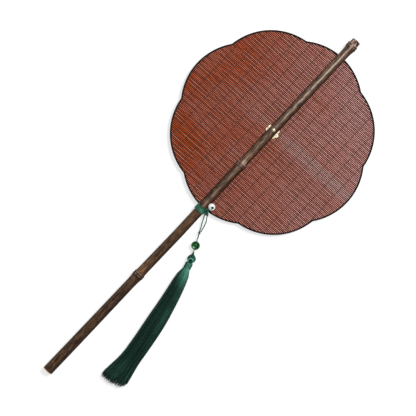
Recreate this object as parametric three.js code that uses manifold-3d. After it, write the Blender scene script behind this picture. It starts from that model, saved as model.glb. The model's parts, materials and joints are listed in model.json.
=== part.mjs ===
// A long-handled hand fan with a petal-shaped screen of woven bamboo splints.
// Frame: the handle runs along +Y, +Z comes out of the front of the screen, and the fan lies
// flat with its lowest point at z = 0. The origin is under the middle of the handle's length.
import * as THREE from 'three';
import { mergeVertices } from 'three/addons/utils/BufferGeometryUtils.js';
import Module from 'manifold-3d';

const wasm = await Module();
wasm.setup();

// Clearances, in millimetres as everything below
const seatGap = 0.1;
const cordGap = 0.3;

// Corners closer than this are one corner, and round pieces have this many sides
const weldDistance = 1e-4;
const roundSides = 24;

// Bamboo handle
const handleLength = 507;
const buttDiameter = 11.8;
const tipDiameter = 10.2;
const tipNodeSetback = 8;
const middleNodeSetback = 190;
const lowerNodeSetback = 358;
const nodeRidgeHeight = 1.1;
const nodeUpperRidge = 1;
const nodeRidgeSpacing = 2.6;
const nodeFlareBelow = 10;
const nodeFlareAbove = 5;
const endChamfer = 0.5;
const handleSides = 24;
// Sideways wander of the culm, which bends a little at two nodes and once between them
const bendSetback = 293.5;
const buttSway = -1.85;
const lowerNodeSway = -0.6;
const bendSway = 0;
const middleNodeSway = -0.9;
const tipSway = -0.9;

// Petal-shaped screen
const lobeCount = 8;
const screenTipRadius = 115;
const lobeDepth = 5.7;
const tipOverhang = 24.5;
const stepsPerLobe = 12;

// Splint mat
const splintPitch = 1.76;
const splintCrown = 0.7;
const matThickness = 1.2;
const matWeb = 0.7;

// Rim
const hoopWidth = 0.9;
const tapeThickness = 0.3;
const bindingWidth = 2;

// Slit in the handle, and the brass that closes it on the mat
const slitOverrun = 3;
const pinAboveCentre = 2.6;
const pinDiameter = 2.2;
const pinHeadDiameter = 4.8;
const pinHeadHeight = 1.5;
const pinTailDiameter = 3.2;
const pinTailHeight = 0.7;
const pinTailFace = 2.2;
const pinDomeSteps = 6;
const washerDiameter = 4.6;
const washerThickness = 0.5;
const spotFaceDepth = 0.6;
const plateThickness = 0.4;
const plateReachRight = 1.5;
const plateReachLeft = 2.1;
const plateBelowPin = 1.6;
const plateBump = 1.9;
const plateLobeRight = 2.4;
const plateLobeLeft = 2.2;
const plateSpreadRight = 3.9;
const plateSpreadLeft = 1.8;
const plateBumpDrop = 0.6;
const plateEyelet = 1.2;

// Thread wound round the handle below the screen
const wrapLoops = 5;
const wrapPitch = 1.2;
const wrapThread = 0.78;
const wrapBelowRim = 0.4;
const wrapStepsPerLoop = 24;
const wrapSides = 6;

// Hitch beside the wrap, the white bead on its cord and the loop round the hitch
const hitchAhead = 1.4;
const hitchCoreDiameter = 1.4;
const hitchFlangeHeight = 1.6;
const hitchShoulder = 0.85;
const hitchCrown = 0.75;
const loopCordDiameter = 1;
const whiteBeadDiameter = 8;
const whiteBeadBore = 2;
const whiteBeadMouth = 3;
const whiteBeadTilt = THREE.MathUtils.degToRad(16);
const whiteBeadTurn = THREE.MathUtils.degToRad(-2);
const whiteBeadRight = -1.25;
const whiteBeadAhead = 9.54;
const whiteBeadLift = 1.8;
const beadCordDiameter = 1;
const stopKnotDiameter = 2.7;

// Pendant: knot, bead between two spacers, and tassel
const loopKnotDiameter = 3.2;
const dropAngle = THREE.MathUtils.degToRad(26.35);
const dropCordDiameter = 1.2;
const knotToBead = 14.86;
const greenBeadDiameter = 10;
const spacerDiameter = 3;
const spacerFaceDiameter = 2.4;
const spacerLength = 1.8;
const hangerLength = 3.4;
const tasselHeadDiameter = 10;
const tasselNeckDiameter = 8.3;
const neckBandHeight = 5;
const neckBandWall = 0.6;
const tasselAngle = THREE.MathUtils.degToRad(16.8);
const tasselBend = THREE.MathUtils.degToRad(-12.8);
const skirtLength = 162;
const skirtShoulderWidth = 15;
const skirtBodyWidth = 21.6;
const skirtEndWidth = 29;
const skirtThickness = 9.4;
const skirtFlutes = 12;
const skirtFluteDepth = 0.35;

const up = new THREE.Vector3(0, 0, 1);

// Places worked out from the sizes above
const handleTip = handleLength / 2;
const handleButt = -handleLength / 2;
const tipNode = handleTip - tipNodeSetback;
const middleNode = handleTip - middleNodeSetback;
const lowerNode = handleTip - lowerNodeSetback;
const screenCentre = handleTip - tipOverhang - screenTipRadius;
const hoopOffset = tapeThickness + seatGap;
const matOffset = hoopOffset + hoopWidth + cordGap;
const matTop = matThickness / 2;
const slitFloor = -matTop - seatGap;
const slitRoof = matTop + plateThickness + 2 * seatGap;
const bindingHalfHeight = matTop + seatGap + tapeThickness;
const wrapTop = screenCentre - screenTipRadius - wrapBelowRim;
const wrapMiddle = wrapTop - (wrapLoops * wrapPitch) / 2;
const wrapRadius = culmRadius(wrapMiddle) + cordGap + wrapThread / 2;
const axisHeight = Math.max(culmRadius(lowerNode) + nodeRidgeHeight, wrapRadius + wrapThread / 2);
const hitchCore = hitchCoreDiameter / 2;
const bightRadius = hitchCore + cordGap + loopCordDiameter / 2;
const hitchFlange = bightRadius + loopCordDiameter / 2;
const hitchX = culmSway(wrapMiddle) + wrapRadius + wrapThread / 2 + cordGap + hitchFlange;
const hitchNeck = loopCordDiameter / 2 + cordGap;
const hitchTop = hitchNeck + hitchFlangeHeight;
const knotReach = loopKnotDiameter / 2 + cordGap;
const beadRadius = greenBeadDiameter / 2;
const spacerPlace = beadRadius + cordGap + spacerLength / 2;
const headRadius = tasselHeadDiameter / 2;
const knotToHead = knotToBead + spacerPlace + spacerLength / 2 + hangerLength + headRadius;

// Radius of the culm between its nodes, tapering from butt to tip
function culmRadius(y) {
  const share = (y - handleButt) / handleLength;
  return THREE.MathUtils.lerp(buttDiameter, tipDiameter, share) / 2;
}

// Sideways place of the culm's axis, straight between bends
function culmSway(y) {
  const places = [handleButt, lowerNode, handleTip - bendSetback, middleNode, handleTip];
  const sways = [buttSway, lowerNodeSway, bendSway, middleNodeSway, tipSway];
  let span = 0;
  while (span < places.length - 2 && y > places[span + 1]) span += 1;
  const share = (y - places[span]) / (places[span + 1] - places[span]);
  return THREE.MathUtils.lerp(sways[span], sways[span + 1], share);
}

// Closed body from vertices and triangles, turned so that its faces point out
function closedBody(vertices, triangles) {
  let volume = 0;
  for (const [a, b, c] of triangles) {
    volume += vertices[a].dot(vertices[b].clone().cross(vertices[c])) / 6;
  }
  const faces = triangles.map(([a, b, c]) => (volume < 0 ? [a, c, b] : [a, b, c]));
  const geometry = new THREE.BufferGeometry().setFromPoints(vertices);
  geometry.setIndex(faces.flat());
  return geometry;
}

// Skin over a row of rings with equal point counts, closed by a fan at each end
function loft(rings) {
  const sides = rings[0].length;
  const vertices = rings.flat();
  const triangles = [];
  for (let ring = 0; ring < rings.length - 1; ring += 1) {
    for (let side = 0; side < sides; side += 1) {
      const next = (side + 1) % sides;
      const here = ring * sides;
      const there = here + sides;
      triangles.push([here + side, here + next, there + next]);
      triangles.push([here + side, there + next, there + side]);
    }
  }
  for (const ring of [0, rings.length - 1]) {
    const middle = new THREE.Vector3();
    rings[ring].forEach((point) => middle.addScaledVector(point, 1 / sides));
    vertices.push(middle);
    for (let side = 0; side < sides; side += 1) {
      const edge = [ring * sides + side, ring * sides + ((side + 1) % sides)];
      const fan = ring === 0 ? [edge[1], edge[0]] : edge;
      triangles.push([vertices.length - 1, ...fan]);
    }
  }
  return closedBody(vertices, triangles);
}

// Merged copy of a geometry with no repeated corners in a triangle
function welded(geometry) {
  const bare = geometry.clone();
  bare.deleteAttribute('normal');
  bare.deleteAttribute('uv');
  const merged = mergeVertices(bare, weldDistance);
  const places = merged.getAttribute('position');
  const vertices = [];
  for (let i = 0; i < places.count; i += 1) {
    vertices.push(new THREE.Vector3().fromBufferAttribute(places, i));
  }
  const index = merged.getIndex().array;
  const triangles = [];
  for (let i = 0; i < index.length; i += 3) {
    const [a, b, c] = index.slice(i, i + 3);
    if (a !== b && b !== c && c !== a) triangles.push([a, b, c]);
  }
  return closedBody(vertices, triangles);
}

function toSolid(geometry) {
  const clean = welded(geometry);
  return new wasm.Manifold(new wasm.Mesh({
    numProp: 3,
    vertProperties: new Float32Array(clean.getAttribute('position').array),
    triVerts: new Uint32Array(clean.getIndex().array),
  }));
}

function toGeometry(solid) {
  const mesh = solid.getMesh();
  const geometry = new THREE.BufferGeometry();
  geometry.setAttribute('position', new THREE.BufferAttribute(mesh.vertProperties, 3));
  geometry.setIndex(new THREE.BufferAttribute(mesh.triVerts, 1));
  return geometry;
}

// Round cutter or disc standing along Z, from one height to another
function upright(radius, x, y, low, high) {
  const cylinder = new THREE.CylinderGeometry(radius, radius, high - low, roundSides);
  cylinder.rotateX(Math.PI / 2);
  return cylinder.translate(x, y, (low + high) / 2);
}

// Body turned about Y from a profile of [radius, place] pairs
function turned(profile) {
  const points = profile.map(([radius, place]) => new THREE.Vector2(radius, place));
  return welded(new THREE.LatheGeometry(points, roundSides));
}

// Round bead about Y with a straight bore that opens to a wider mouth at both ends
function boredBead(radius, bore, mouth) {
  const start = Math.asin(mouth / radius);
  const arcSteps = roundSides / 2;
  const profile = [];
  for (let step = 0; step <= arcSteps; step += 1) {
    const angle = start + ((Math.PI - 2 * start) * step) / arcSteps;
    profile.push([radius * Math.sin(angle), -radius * Math.cos(angle)]);
  }
  const mouthPlace = radius * Math.cos(start);
  const boreEnd = mouthPlace - (mouth - bore) - seatGap;
  profile.push([bore, boreEnd], [bore, -boreEnd], profile[0]);
  return turned(profile);
}

// Round knot of thread
function knot(diameter) {
  return welded(new THREE.SphereGeometry(diameter / 2, 16, 10));
}

// Round cord along a smooth curve
function cord(curve, diameter, steps, sides = 8) {
  const section = new THREE.Shape();
  for (let side = 0; side < sides; side += 1) {
    const angle = (2 * Math.PI * side) / sides;
    const place = new THREE.Vector2(Math.cos(angle), Math.sin(angle)).multiplyScalar(diameter / 2);
    if (side === 0) section.moveTo(place.x, place.y);
    else section.lineTo(place.x, place.y);
  }
  return welded(new THREE.ExtrudeGeometry(section, { steps, extrudePath: curve, bevelEnabled: false }));
}

// Petal outline: each lobe is an arc, and an offset draws the arcs in about the same centres
const halfLobe = Math.PI / lobeCount;
const cuspRadius = screenTipRadius - lobeDepth;
const lobeCentre = (screenTipRadius ** 2 - cuspRadius ** 2)
  / (2 * (screenTipRadius - cuspRadius * Math.cos(halfLobe)));
const lobeArc = screenTipRadius - lobeCentre;

function petalRadius(angle, offset) {
  const lobe = Math.round(angle / (2 * halfLobe)) * 2 * halfLobe;
  const turn = angle - lobe;
  const across = lobeCentre * Math.sin(turn);
  return lobeCentre * Math.cos(turn) + Math.sqrt((lobeArc - offset) ** 2 - across ** 2);
}

function petalPoint(angle, offset, z) {
  const radius = petalRadius(angle, offset);
  const y = screenCentre + radius * Math.cos(angle);
  return new THREE.Vector3(radius * Math.sin(angle), y, axisHeight + z);
}

// Half-width of the petal outline at a height above the screen's centre
function petalHalfWidth(rise, offset) {
  let widest = 0;
  for (let lobe = 0; lobe < lobeCount; lobe += 1) {
    const angle = 2 * halfLobe * lobe;
    const inside = (lobeArc - offset) ** 2 - (rise - lobeCentre * Math.cos(angle)) ** 2;
    if (inside > 0) widest = Math.max(widest, lobeCentre * Math.sin(angle) + Math.sqrt(inside));
  }
  return widest;
}

// Handle: rings along the culm with two ridges at each node, slit for the screen, drilled for the pin
function handleRing(y, swell) {
  const radius = culmRadius(y) + swell;
  const ring = [];
  for (let side = 0; side < handleSides; side += 1) {
    const angle = (2 * Math.PI * side) / handleSides;
    ring.push(new THREE.Vector3(
      culmSway(y) + radius * Math.cos(angle), y, axisHeight + radius * Math.sin(angle),
    ));
  }
  return ring;
}

const pinPlace = screenCentre + pinAboveCentre;
const pinX = culmSway(pinPlace);
const pinSeat = culmRadius(pinPlace) - spotFaceDepth;

function handleGeometry() {
  const ridge = nodeRidgeSpacing / 2;
  const rings = [handleRing(handleButt, -endChamfer), handleRing(handleButt + endChamfer, 0)];
  for (const node of [lowerNode, middleNode, tipNode]) {
    if (node === middleNode) rings.push(handleRing(handleTip - bendSetback, 0));
    rings.push(handleRing(node - nodeFlareBelow, 0));
    rings.push(handleRing(node - nodeFlareBelow / 2, nodeRidgeHeight / 3));
    rings.push(handleRing(node - ridge, nodeRidgeHeight));
    rings.push(handleRing(node, nodeRidgeHeight / 2));
    rings.push(handleRing(node + ridge, nodeUpperRidge));
    rings.push(handleRing(node + 2 * ridge, nodeRidgeHeight / 4));
    rings.push(handleRing(node + nodeFlareAbove, 0));
  }
  rings.push(handleRing(handleTip - endChamfer, 0), handleRing(handleTip, -endChamfer));
  const slitLow = screenCentre - screenTipRadius - slitOverrun;
  const slitHigh = screenCentre + screenTipRadius + slitOverrun;
  const slit = new THREE.BoxGeometry(2 * buttDiameter, slitHigh - slitLow, slitRoof - slitFloor);
  slit.translate(0, screenCentre, axisHeight + (slitRoof + slitFloor) / 2);
  const hole = upright(pinDiameter / 2 + seatGap, pinX, pinPlace, 0, 2 * axisHeight);
  const spotTop = axisHeight + pinSeat;
  const frontSpot = upright(pinHeadDiameter / 2 + cordGap, pinX, pinPlace, spotTop, 2 * axisHeight);
  const backSpot = upright(washerDiameter / 2 + cordGap, pinX, pinPlace, 0, axisHeight - pinSeat);
  const cuts = [slit, hole, frontSpot, backSpot];
  return toGeometry(cuts.reduce((body, cut) => body.subtract(toSolid(cut)), toSolid(loft(rings))));
}

// Mat: one ribbed sheet with a ridge for each splint, drilled for the pin
function matGeometry() {
  const reach = screenTipRadius - matOffset;
  const splints = 2 * Math.floor((reach - splintPitch / 2) / splintPitch) + 1;
  const rows = [];
  for (let splint = 0; splint < splints; splint += 1) {
    const middle = (splint - (splints - 1) / 2) * splintPitch;
    const crown = (splintCrown * splintPitch) / 2;
    rows.push([middle - splintPitch / 2, matWeb / 2]);
    rows.push([middle - crown / 2, matTop], [middle + crown / 2, matTop]);
  }
  rows.push([(splints * splintPitch) / 2, matWeb / 2]);
  const rings = rows.map(([rise, height]) => {
    const side = petalHalfWidth(rise, matOffset);
    const corners = [[-side, -height], [side, -height], [side, height], [-side, height]];
    return corners.map(([x, z]) => new THREE.Vector3(x, screenCentre + rise, axisHeight + z));
  });
  const hole = upright(pinDiameter / 2 + seatGap, pinX, pinPlace, 0, 2 * axisHeight);
  return toGeometry(toSolid(loft(rings)).subtract(toSolid(hole)));
}

// Section of [offset, height] corners carried along the petal outline, closed on itself or capped
function petalSweep(section, angles, closed) {
  const corners = section.length;
  const vertices = angles.flatMap((angle) => section.map(([offset, z]) => petalPoint(angle, offset, z)));
  const triangles = [];
  const spans = closed ? angles.length : angles.length - 1;
  for (let span = 0; span < spans; span += 1) {
    const here = span * corners;
    const there = ((span + 1) % angles.length) * corners;
    for (let corner = 0; corner < corners; corner += 1) {
      const beside = (corner + 1) % corners;
      triangles.push([here + corner, here + beside, there + beside]);
      triangles.push([here + corner, there + beside, there + corner]);
    }
  }
  if (closed) return closedBody(vertices, triangles);
  const flat = section.map(([offset, z]) => new THREE.Vector2(offset, z));
  const end = spans * corners;
  for (const [a, b, c] of THREE.ShapeUtils.triangulateShape(flat, [])) {
    const alike = THREE.ShapeUtils.area([flat[a], flat[b], flat[c]]) * THREE.ShapeUtils.area(flat) > 0;
    const [p, q, r] = alike ? [a, b, c] : [a, c, b];
    triangles.push([p, r, q], [p + end, q + end, r + end]);
  }
  return closedBody(vertices, triangles);
}

const petalStep = (2 * halfLobe) / stepsPerLobe;

// Hoop: flat strip bent into the petal outline, running through the slit
function hoopGeometry() {
  const inner = hoopOffset + hoopWidth;
  const section = [[hoopOffset, -matTop], [hoopOffset, matTop], [inner, matTop], [inner, -matTop]];
  const angles = [];
  for (let step = 0; step < lobeCount * stepsPerLobe; step += 1) angles.push(petalStep * step);
  return petalSweep(section, angles, true);
}

// Binding: tape folded over the hoop and the mat's edge, from the handle's foot to its head on one side
function bindingGeometry(side) {
  const lip = bindingHalfHeight - tapeThickness;
  const section = [
    [0, -bindingHalfHeight], [0, bindingHalfHeight], [bindingWidth, bindingHalfHeight], [bindingWidth, lip],
    [tapeThickness, lip], [tapeThickness, -lip], [bindingWidth, -lip], [bindingWidth, -bindingHalfHeight],
  ];
  const clearOf = (y) => {
    const gap = side * culmSway(y) + culmRadius(y) + cordGap;
    return Math.asin(gap / (screenTipRadius - bindingWidth));
  };
  const first = clearOf(screenCentre + screenTipRadius);
  const last = Math.PI - clearOf(screenCentre - screenTipRadius);
  const angles = [first];
  for (let angle = petalStep; angle < last; angle += petalStep) {
    if (angle > first) angles.push(angle);
  }
  angles.push(last);
  return petalSweep(section, angles.map((angle) => side * angle), false);
}

// Brass pin with a domed head in front and a riveted tail behind, about its own axis
function pinGeometry() {
  const shank = pinDiameter / 2;
  const head = pinHeadDiameter / 2;
  const seat = pinSeat + seatGap;
  const tail = -seat - washerThickness - seatGap;
  const dome = [];
  for (let step = 1; step < pinDomeSteps; step += 1) {
    const angle = (Math.PI / 2) * (step / pinDomeSteps);
    dome.push([head * Math.cos(angle), seat + pinHeadHeight * Math.sin(angle)]);
  }
  dome.push([0, seat + pinHeadHeight]);
  const tailEdge = pinTailDiameter / 2;
  const tailEnd = tail - pinTailHeight;
  return turned([
    [0, tailEnd], [pinTailFace / 2, tailEnd], [tailEdge, tail - pinTailHeight / 2],
    [tailEdge, tail], [shank, tail], [shank, seat], [head, seat], ...dome,
  ]);
}

function washerGeometry() {
  const high = -pinSeat - seatGap;
  const low = high - washerThickness;
  const hole = pinDiameter / 2 + seatGap;
  const edge = washerDiameter / 2;
  return turned([[edge, low], [edge, high], [hole, high], [hole, low], [edge, low]]);
}

// Ornamental plate under the front of the handle: round lobes that show on both sides of it
function plateGeometry() {
  const low = axisHeight + matTop + seatGap;
  const high = low + plateThickness;
  const edge = culmRadius(pinPlace);
  const middle = pinPlace - plateBelowPin;
  const disc = (x, y, radius) => toSolid(upright(radius, pinX + x, middle + y, low, high));
  const right = edge + plateReachRight - plateLobeRight;
  const left = edge + plateReachLeft - plateLobeLeft;
  const bar = new THREE.BoxGeometry(right + left, 2 * plateLobeLeft, plateThickness);
  bar.translate(pinX + (right - left) / 2, middle, (low + high) / 2);
  const lobes = [
    disc(right, plateSpreadRight, plateLobeRight),
    disc(right, -plateSpreadRight, plateLobeRight),
    disc(right + plateBump, -plateBumpDrop, plateLobeRight),
    disc(-left, plateSpreadLeft, plateLobeLeft),
    disc(-left, -plateSpreadLeft, plateLobeLeft),
  ];
  const body = lobes.reduce((sum, lobe) => sum.add(lobe), toSolid(bar));
  const hole = disc(0, plateBelowPin, pinDiameter / 2 + seatGap);
  const eyelet = disc(right + plateBump, -plateBumpDrop, plateEyelet / 2);
  return toGeometry(body.subtract(hole).subtract(eyelet));
}

// Winding: a helix round the handle, a quarter turn short so that both ends run off towards the hitch
const wrapTurns = wrapLoops - 0.25;

class Winding extends THREE.Curve {
  constructor() {
    super();
    this.wound = 2 * Math.PI * wrapTurns * wrapRadius;
    this.tail = 2 * wrapThread;
  }

  getPoint(share, target = new THREE.Vector3()) {
    const along = share * (this.wound + 2 * this.tail) - this.tail;
    const held = THREE.MathUtils.clamp(along, 0, this.wound);
    const past = along - held;
    const angle = -Math.PI / 4 - held / wrapRadius;
    const fall = ((held / this.wound) * wrapTurns + (wrapLoops - wrapTurns) / 2) * wrapPitch;
    const x = wrapRadius * Math.cos(angle) + past * Math.sin(angle);
    const z = wrapRadius * Math.sin(angle) - past * Math.cos(angle);
    return target.set(culmSway(wrapMiddle) + x, wrapTop - fall, axisHeight + z);
  }
}

const winding = new Winding();

function leastGapOfWinding() {
  const perLoop = wrapStepsPerLoop * 2;
  const points = winding.getSpacedPoints(wrapLoops * perLoop);
  let least = Infinity;
  for (let a = 0; a < points.length; a += 1) {
    for (let b = a + perLoop / 2; b < points.length; b += 1) {
      least = Math.min(least, points[a].distanceTo(points[b]) - wrapThread);
    }
  }
  return least;
}

console.log(`thread wrap: least gap to itself ${leastGapOfWinding().toFixed(3)} mm`);

// Hitch: two round lumps of thread on a thin core that the loop goes round, about its own axis
function hitchGeometry() {
  const lump = (side) => {
    const near = side * hitchNeck;
    const far = side * hitchTop;
    const middle = (near + far) / 2;
    return [[hitchFlange * hitchShoulder, near], [hitchFlange, middle], [hitchFlange * hitchCrown, far]];
  };
  const below = lump(-1).reverse();
  return turned([
    [0, -hitchTop], ...below, [hitchCore, -hitchNeck], [hitchCore, hitchNeck], ...lump(1), [0, hitchTop],
  ]);
}

// White bead's place beside the handle, above the mat, and the lean of its bore
const beadAxis = new THREE.Vector3(
  Math.sin(whiteBeadTilt) * Math.cos(whiteBeadTurn),
  Math.sin(whiteBeadTilt) * Math.sin(whiteBeadTurn),
  Math.cos(whiteBeadTilt),
);
const whiteBeadRadius = whiteBeadDiameter / 2;
const whiteBeadHeight = matTop + whiteBeadRadius + whiteBeadLift;
const whiteBeadPlace = new THREE.Vector3(whiteBeadRight, whiteBeadAhead, whiteBeadHeight);
const stopKnotPlace = whiteBeadRadius + stopKnotDiameter / 2 - cordGap;

// Points below are from the hitch, at the height of the handle's axis
function beadCordCurve() {
  const from = (place) => whiteBeadPlace.clone().addScaledVector(beadAxis, place);
  return new THREE.CatmullRomCurve3([
    new THREE.Vector3(0, 0, hitchTop + seatGap),
    new THREE.Vector3(0, 0.3, hitchTop + 0.9),
    new THREE.Vector3(-0.4, 1.6, hitchTop + 1),
    new THREE.Vector3(-1.3, 3.5, 2.6),
    new THREE.Vector3(-2.2, 5.3, 1.8),
    new THREE.Vector3(-2.5, 7.1, 1.5),
    new THREE.Vector3(-2.7, 8.6, 1.6),
    from(-whiteBeadRadius),
    from(-0.6 * whiteBeadRadius),
    from(0),
    from(stopKnotPlace - stopKnotDiameter / 2 - seatGap),
  ]);
}

// Loop: from the knot up its outer strand, round the hitch's core and back down to the knot
const knotPlace = new THREE.Vector3(8.52, -21.2, beadRadius - axisHeight);

function loopCurve() {
  const end = (degrees) => {
    const angle = THREE.MathUtils.degToRad(degrees);
    return new THREE.Vector3(Math.cos(angle), Math.sin(angle), 0).multiplyScalar(knotReach).add(knotPlace);
  };
  const bight = (degrees) => {
    const angle = THREE.MathUtils.degToRad(degrees);
    return new THREE.Vector3(bightRadius * Math.cos(angle), bightRadius * Math.sin(angle), 0);
  };
  return new THREE.CatmullRomCurve3([
    end(72),
    new THREE.Vector3(8.52, -16.8, -2.4),
    new THREE.Vector3(7.87, -13.8, -2.9),
    new THREE.Vector3(7.17, -11.1, -3),
    new THREE.Vector3(6.22, -8.2, -2.8),
    new THREE.Vector3(4.72, -5.4, -2),
    new THREE.Vector3(2.8, -2.7, -0.8),
    bight(20),
    bight(65),
    bight(110),
    bight(155),
    bight(200),
    new THREE.Vector3(-0.5, -3.5, -0.7),
    new THREE.Vector3(0.82, -6.3, -1.9),
    new THREE.Vector3(2.32, -9.3, -2.7),
    new THREE.Vector3(3.82, -12.2, -2.9),
    new THREE.Vector3(5.32, -15, -2.8),
    new THREE.Vector3(6.42, -17.2, -2.4),
    end(126),
  ]);
}

// Tassel pieces hang along -Y from the middle of the head
function headGeometry() {
  const neck = tasselNeckDiameter / 2 - neckBandWall;
  const start = Math.asin(neck / headRadius);
  const profile = [[0, -headRadius * Math.cos(start)]];
  const arcSteps = 10;
  for (let step = 0; step <= arcSteps; step += 1) {
    const angle = start + ((Math.PI - start) * step) / arcSteps;
    profile.push([step === arcSteps ? 0 : headRadius * Math.sin(angle), -headRadius * Math.cos(angle)]);
  }
  return turned(profile);
}

const skirtTop = Math.sqrt(headRadius ** 2 - (tasselNeckDiameter / 2 - neckBandWall) ** 2) + cordGap;
const bandTop = headRadius + cordGap;

function neckBandGeometry() {
  const outer = tasselNeckDiameter / 2;
  const inner = outer - neckBandWall;
  const bottom = -bandTop - neckBandHeight;
  return turned([[inner, bottom], [outer, bottom], [outer, -bandTop], [inner, -bandTop], [inner, bottom]]);
}

// Skirt: fluted oval bundle that flares below the band and curves gently sideways
function skirtGeometry() {
  const neck = tasselNeckDiameter - 2 * neckBandWall - 2 * cordGap;
  const bandBottom = bandTop + neckBandHeight + cordGap;
  const body = skirtLength - bandBottom;
  const stations = [
    [skirtTop, neck, neck, 0],
    [bandBottom, neck, neck, 0],
    [bandBottom + body * 0.025, neck * 1.35, neck * 1.15, 0.3],
    [bandBottom + body * 0.1, skirtShoulderWidth, skirtThickness, 0.7],
    [bandBottom + body * 0.22, skirtShoulderWidth * 0.6 + skirtBodyWidth * 0.4, skirtThickness, 1],
    [bandBottom + body * 0.45, skirtBodyWidth * 0.96, skirtThickness, 1],
    [bandBottom + body * 0.65, skirtBodyWidth, skirtThickness, 1],
    [bandBottom + body * 0.8, skirtBodyWidth * 1.02, skirtThickness, 1],
    [bandBottom + body * 0.9, (skirtBodyWidth + skirtEndWidth) / 2, skirtThickness * 0.96, 1],
    [skirtLength, skirtEndWidth, skirtThickness * 0.9, 1],
  ];
  const curve = tasselBend / skirtLength;
  const points = 3 * skirtFlutes;
  const rings = stations.map(([place, width, thickness, fluted]) => {
    const heading = curve * place;
    const middle = new THREE.Vector3((1 - Math.cos(heading)) / curve, -Math.sin(heading) / curve, 0);
    const across = new THREE.Vector3(Math.cos(heading), Math.sin(heading), 0);
    const ring = [];
    for (let point = 0; point < points; point += 1) {
      const angle = (2 * Math.PI * point) / points;
      const inset = point % 3 === 0 ? fluted * skirtFluteDepth : 0;
      const spread = Math.cos(angle) * (width / 2 - inset);
      const rise = Math.sin(angle) * (thickness / 2 - inset);
      ring.push(middle.clone().addScaledVector(across, spread).addScaledVector(up, rise));
    }
    return ring;
  });
  return loft(rings);
}

// Colours and finishes
const bambooDark = { color: 0x4f3b2e, roughness: 0.5, metalness: 0 };
const splintRed = { color: 0x85503f, roughness: 0.65, metalness: 0 };
const hoopBrown = { color: 0x3a2a22, roughness: 0.7, metalness: 0 };
const tapeBlack = { color: 0x231d1c, roughness: 0.85, metalness: 0 };
const brass = { color: 0xc9ad6b, roughness: 0.35, metalness: 1 };
const threadGreen = { color: 0x1d5a40, roughness: 0.7, metalness: 0 };
const silkGreen = { color: 0x16302a, roughness: 0.55, metalness: 0 };
const porcelain = { color: 0xe6e4dc, roughness: 0.2, metalness: 0 };
const glassGreen = { color: 0x0c4a2c, roughness: 0.1, metalness: 0 };
const glassClear = { color: 0xdfe6e2, roughness: 0.1, metalness: 0 };

function piece(name, geometry, finish) {
  const mesh = new THREE.Mesh(geometry, new THREE.MeshStandardMaterial(finish));
  mesh.name = name;
  return mesh;
}

// Assembly
const fan = new THREE.Group();
fan.add(
  piece('handle', handleGeometry(), bambooDark),
  piece('splint_mat', matGeometry(), splintRed),
  piece('rim_hoop', hoopGeometry(), hoopBrown),
  piece('rim_binding_right', bindingGeometry(1), tapeBlack),
  piece('rim_binding_left', bindingGeometry(-1), tapeBlack),
  piece('brass_plate', plateGeometry(), brass),
  piece('thread_wrap', cord(winding, wrapThread, wrapLoops * wrapStepsPerLoop, wrapSides), threadGreen),
);

const rivet = new THREE.Group();
rivet.position.set(pinX, pinPlace, axisHeight);
rivet.rotation.x = Math.PI / 2;
rivet.add(
  piece('brass_pin', pinGeometry(), brass),
  piece('pin_washer', washerGeometry(), brass),
);
fan.add(rivet);

const hitch = new THREE.Group();
hitch.position.set(hitchX, wrapMiddle + hitchAhead, axisHeight);
const hitchKnot = piece('hitch_knot', hitchGeometry(), threadGreen);
hitchKnot.rotation.x = Math.PI / 2;
const whiteBeadBody = boredBead(whiteBeadRadius, whiteBeadBore / 2, whiteBeadMouth / 2);
const whiteBead = piece('white_bead', whiteBeadBody, porcelain);
whiteBead.position.copy(whiteBeadPlace);
whiteBead.quaternion.setFromUnitVectors(new THREE.Vector3(0, 1, 0), beadAxis);
const stopKnot = piece('stop_knot', knot(stopKnotDiameter), threadGreen);
stopKnot.position.copy(whiteBeadPlace).addScaledVector(beadAxis, stopKnotPlace);
const loopKnot = piece('loop_knot', knot(loopKnotDiameter), threadGreen);
loopKnot.position.copy(knotPlace);
hitch.add(
  hitchKnot,
  whiteBead,
  stopKnot,
  piece('bead_cord', cord(beadCordCurve(), beadCordDiameter, 40), threadGreen),
  piece('tassel_loop', cord(loopCurve(), loopCordDiameter, 48), threadGreen),
  loopKnot,
);
fan.add(hitch);

const drop = new THREE.Group();
drop.position.copy(knotPlace);
drop.rotation.z = dropAngle;
const dropEnd = knotToHead - headRadius - cordGap;
const dropRadius = dropCordDiameter / 2;
const dropBore = dropRadius + cordGap;
const dropBody = new THREE.CylinderGeometry(dropRadius, dropRadius, dropEnd - knotReach, 8);
const dropCord = piece('drop_cord', dropBody, threadGreen);
dropCord.position.y = -(dropEnd + knotReach) / 2;
const greenBead = piece('green_bead', boredBead(beadRadius, dropBore, dropBore + cordGap), glassGreen);
greenBead.position.y = -knotToBead;
drop.add(dropCord, greenBead);
for (const [name, side] of [['spacer_upper', 1], ['spacer_lower', -1]]) {
  const edge = spacerDiameter / 2;
  const face = spacerFaceDiameter / 2;
  const half = spacerLength / 2;
  const outside = [[face, -half], [edge, -half / 2], [edge, half / 2], [face, half]];
  const spacerBody = turned([[dropBore, -half], ...outside, [dropBore, half], [dropBore, -half]]);
  const spacer = piece(name, spacerBody, glassClear);
  spacer.position.y = -knotToBead + side * spacerPlace;
  drop.add(spacer);
}
hitch.add(drop);

const tassel = new THREE.Group();
tassel.position.y = -knotToHead;
tassel.rotation.z = tasselAngle - dropAngle;
tassel.add(
  piece('tassel_head', headGeometry(), silkGreen),
  piece('tassel_neck_band', neckBandGeometry(), threadGreen),
  piece('tassel_skirt', skirtGeometry(), silkGreen),
);
drop.add(tassel);

export default fan;
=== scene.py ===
import json
import math

import bmesh
import bpy
import numpy as np
from mathutils import Matrix, Vector

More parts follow.
